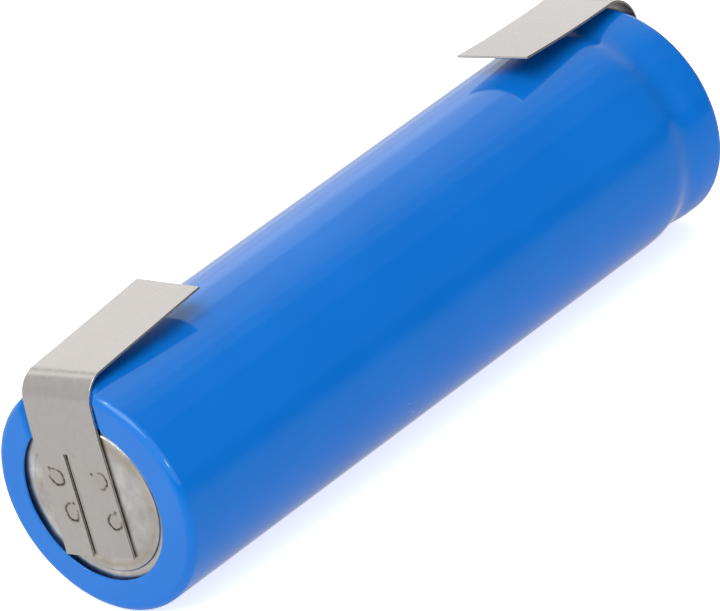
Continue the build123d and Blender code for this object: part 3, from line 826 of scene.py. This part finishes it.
# ---------------------------------------------------------------- camera, light, floor
def make_camera():
    azimuth, elevation, roll = (math.radians(v) for v in (VIEW_AZIMUTH, VIEW_ELEVATION, VIEW_ROLL))
    back = Vector((
        math.sin(azimuth) * math.cos(elevation),
        -math.cos(azimuth) * math.cos(elevation),
        math.sin(elevation),
    ))
    level_right = Vector((math.cos(azimuth), math.sin(azimuth), 0))
    level_up = back.cross(level_right)
    up = level_up * math.cos(roll) + level_right * math.sin(roll)
    right = up.cross(back)
    camera = bpy.data.objects.new("camera", bpy.data.cameras.new("camera"))
    camera.data.lens = LENS
    camera.data.sensor_width = SENSOR
    camera.data.clip_start = 0.05
    camera.data.clip_end = 20
    aim = Vector((0, 0, AXIS_Z)) + Vector(VIEW_AIM) * MM
    turn = Matrix((right, up, back)).transposed().to_4x4()
    camera.matrix_world = Matrix.Translation(aim + back * VIEW_DISTANCE * MM) @ turn
    bpy.context.scene.collection.objects.link(camera)
    bpy.context.scene.camera = camera


def softbox(name, tilt, span, start, end, radiance):
    """Long panel beside the cell, from start to end along X.  tilt is its angle from straight up towards
    +Y, and span its width in degrees as the cell sees it."""
    towards = Vector((0, math.sin(math.radians(tilt)), math.cos(math.radians(tilt))))
    light = bpy.data.lights.new(name, "AREA")
    light.shape = "RECTANGLE"
    light.size = end - start
    light.size_y = 2 * PANEL_DISTANCE * math.tan(math.radians(span) / 2)
    light.energy = radiance * math.pi * light.size * light.size_y
    panel = bpy.data.objects.new(name, light)
    right = Vector((1, 0, 0))
    turn = Matrix((right, towards.cross(right), towards)).transposed().to_4x4()
    middle = Vector(((start + end) / 2, 0, AXIS_Z))
    panel.matrix_world = Matrix.Translation(middle + towards * PANEL_DISTANCE) @ turn
    panel.visible_camera = False
    bpy.context.scene.collection.objects.link(panel)


def fill_light(name, towards, radiance, size):
    """Square panel that lights the cell from one side."""
    light = bpy.data.lights.new(name, "AREA")
    light.shape = "SQUARE"
    light.size = size
    light.energy = radiance * math.pi * size * size
    panel = bpy.data.objects.new(name, light)
    towards = Vector(towards).normalized()
    turn = towards.to_track_quat("Z", "Y").to_matrix().to_4x4()
    panel.matrix_world = Matrix.Translation(towards * FILL_DISTANCE) @ turn
    panel.visible_camera = False
    bpy.context.scene.collection.objects.link(panel)


def make_world():
    """White where the camera looks past the floor.  As light, a pale room on the -X side of the cell,
    which falls off to near darkness on the +X side, and a faint glow towards -X and -Y."""
    world = bpy.data.worlds.new("studio")
    bpy.context.scene.world = world
    world.use_nodes = True
    tree = world.node_tree
    tree.nodes.clear()
    seen = tree.nodes.new("ShaderNodeBackground")
    seen.inputs["Color"].default_value = (1, 1, 1, 1)
    direction = tree.nodes.new("ShaderNodeTexCoord")
    split = tree.nodes.new("ShaderNodeSeparateXYZ")
    tree.links.new(direction.outputs["Generated"], split.inputs["Vector"])
    walls = tree.nodes.new("ShaderNodeMapRange")
    glow = tree.nodes.new("ShaderNodeMapRange")
    facing = tree.nodes.new("ShaderNodeVectorMath")
    facing.operation = "DOT_PRODUCT"
    facing.inputs[1].default_value = (-0.6, -0.8, 0.0)
    for node, limits in ((walls, (0.05, 0.45, 0.70, 0.07)), (glow, (0.30, 0.62, 0.0, 0.1))):
        node.interpolation_type = "SMOOTHSTEP"
        for socket, value in zip(("From Min", "From Max", "To Min", "To Max"), limits):
            node.inputs[socket].default_value = value
    tree.links.new(split.outputs["X"], walls.inputs["Value"])
    tree.links.new(direction.outputs["Generated"], facing.inputs[0])
    tree.links.new(facing.outputs["Value"], glow.inputs["Value"])
    total = tree.nodes.new("ShaderNodeMath")
    tree.links.new(walls.outputs["Result"], total.inputs[0])
    tree.links.new(glow.outputs["Result"], total.inputs[1])
    room = tree.nodes.new("ShaderNodeBackground")
    room.inputs["Color"].default_value = (1.0, 1.0, 1.0, 1)
    tree.links.new(total.outputs["Value"], room.inputs["Strength"])
    path = tree.nodes.new("ShaderNodeLightPath")
    mix = tree.nodes.new("ShaderNodeMixShader")
    output = tree.nodes.new("ShaderNodeOutputWorld")
    tree.links.new(path.outputs["Is Camera Ray"], mix.inputs["Fac"])
    tree.links.new(room.outputs["Background"], mix.inputs[1])
    tree.links.new(seen.outputs["Background"], mix.inputs[2])
    tree.links.new(mix.outputs["Shader"], output.inputs["Surface"])


def make_studio():
    make_world()
    bpy.context.scene.view_settings.view_transform = "Standard"
    softbox("back_panel_low", 96, 12, BACK_START, PANEL_END, 1.3)
    softbox("back_panel_lower", 84, 12, BACK_START, PANEL_END, 0.80)
    softbox("back_panel_upper", 72, 12, BACK_START, PANEL_END, 0.98)
    softbox("back_panel_high", 60, 12, BACK_START, PANEL_END, 1.25)
    softbox("back_panel_edge", 42, 24, BACK_START, PANEL_END, 0.97)
    softbox("top_panel", 18, 24, 0.0, PANEL_END, 0.60)
    softbox("top_panel_edge", 0, 12, 0.0, PANEL_END, 0.48)
    softbox("top_fade", -12, 12, 0.0, PANEL_END, 0.28)
    softbox("top_fade_edge", -30, 24, 0.0, PANEL_END, 0.09)
    softbox("left_wall", 66, 72, 0.0, WALL_END, 0.62)
    fill_light("top_fill", (-0.45, -0.20, 0.87), 2.6, 0.8)
    fill_light("top_key", (-0.22, 0.04, 0.97), 15.0, 0.14)
    fill_light("right_key", (-0.35, -0.88, 0.33), 14.0, 0.12)
    make_floor()


def make_floor():
    corners = [(FLOOR_HALF * x, FLOOR_HALF * y, 0) for x, y in ((-1, -1), (1, -1), (1, 1), (-1, 1))]
    mesh = bpy.data.meshes.new("floor")
    mesh.from_pydata(corners, [], [(0, 1, 2, 3)])
    mesh.materials.append(stage_material())
    floor = bpy.data.objects.new("floor", mesh)
    bpy.context.scene.collection.objects.link(floor)


# ---------------------------------------------------------------- the cell
def dress_nodes():
    """Gives each CAD node that shows, or that a cutaway would show, its own material."""
    black = mottled_material("carbon_polymer", (0.012, 0.012, 0.013), (0.03, 0.03, 0.03), 600, 0.6, 3e-6)
    film = mottled_material("separator_film", (0.80, 0.81, 0.82), (0.90, 0.90, 0.90), 300, 0.5, 1e-6)
    cathode = mottled_material("cathode_coating", (0.02, 0.02, 0.024), (0.05, 0.05, 0.055), 900, 0.75, 4e-6)
    anode = mottled_material("graphite_coating", (0.05, 0.047, 0.045), (0.09, 0.085, 0.08), 900, 0.6, 4e-6)
    tape = mottled_material("amber_tape", (0.55, 0.30, 0.06), (0.72, 0.42, 0.10), 150, 0.3, 1e-6)
    board = mottled_material("pressed_board", (0.62, 0.60, 0.54), (0.78, 0.76, 0.70), 700, 0.8, 6e-6)
    gasket = mottled_material("gasket_nylon", (0.74, 0.74, 0.71), (0.84, 0.84, 0.81), 240, 0.4, 2e-6)
    foil = mottled_material(
        "rolled_aluminium", (0.70, 0.70, 0.71), (0.82, 0.82, 0.83), 500, 0.3, 2e-6, 1.0, (0.1, 1, 1)
    )
    plated = plated_steel_material("plated_cap_steel", False)
    looks = {
        "inner_separator": film,
        "outer_separator": film,
        "cathode_sheet": cathode,
        "anode_sheet": anode,
        "wrap_tape": tape,
        "centre_pin": plated,
        "negative_inner_tab": plated,
        "positive_inner_tab": foil,
        "bottom_insulator": board,
        "top_insulator": board,
        "crimp_gasket": gasket,
        "vent_insulator_ring": gasket,
        "vent_disc": foil,
        "weld_disc": foil,
        "ptc_ring": black,
        "positive_cap": plated,
    }
    for node, material in looks.items():
        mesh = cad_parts[node].data
        mesh.materials.clear()
        mesh.materials.append(material)


make_camera()
make_studio()
dress_nodes()
make_sleeve(sleeve_material())
make_can(plated_steel_material("plated_can_steel", True))
make_washer(mottled_material("washer_paper", (0.74, 0.73, 0.69), (0.86, 0.85, 0.81), 900, 0.8, 6e-6))
nickel = nickel_material()
make_tag(
    "negative_solder_tag", NEGATIVE_TAG, nickel, ("negative_tag_foot", "negative_tag_leg")
)
make_tag(
    "positive_solder_tag", POSITIVE_TAG, nickel, ("positive_tag_foot", "positive_tag_leg")
)
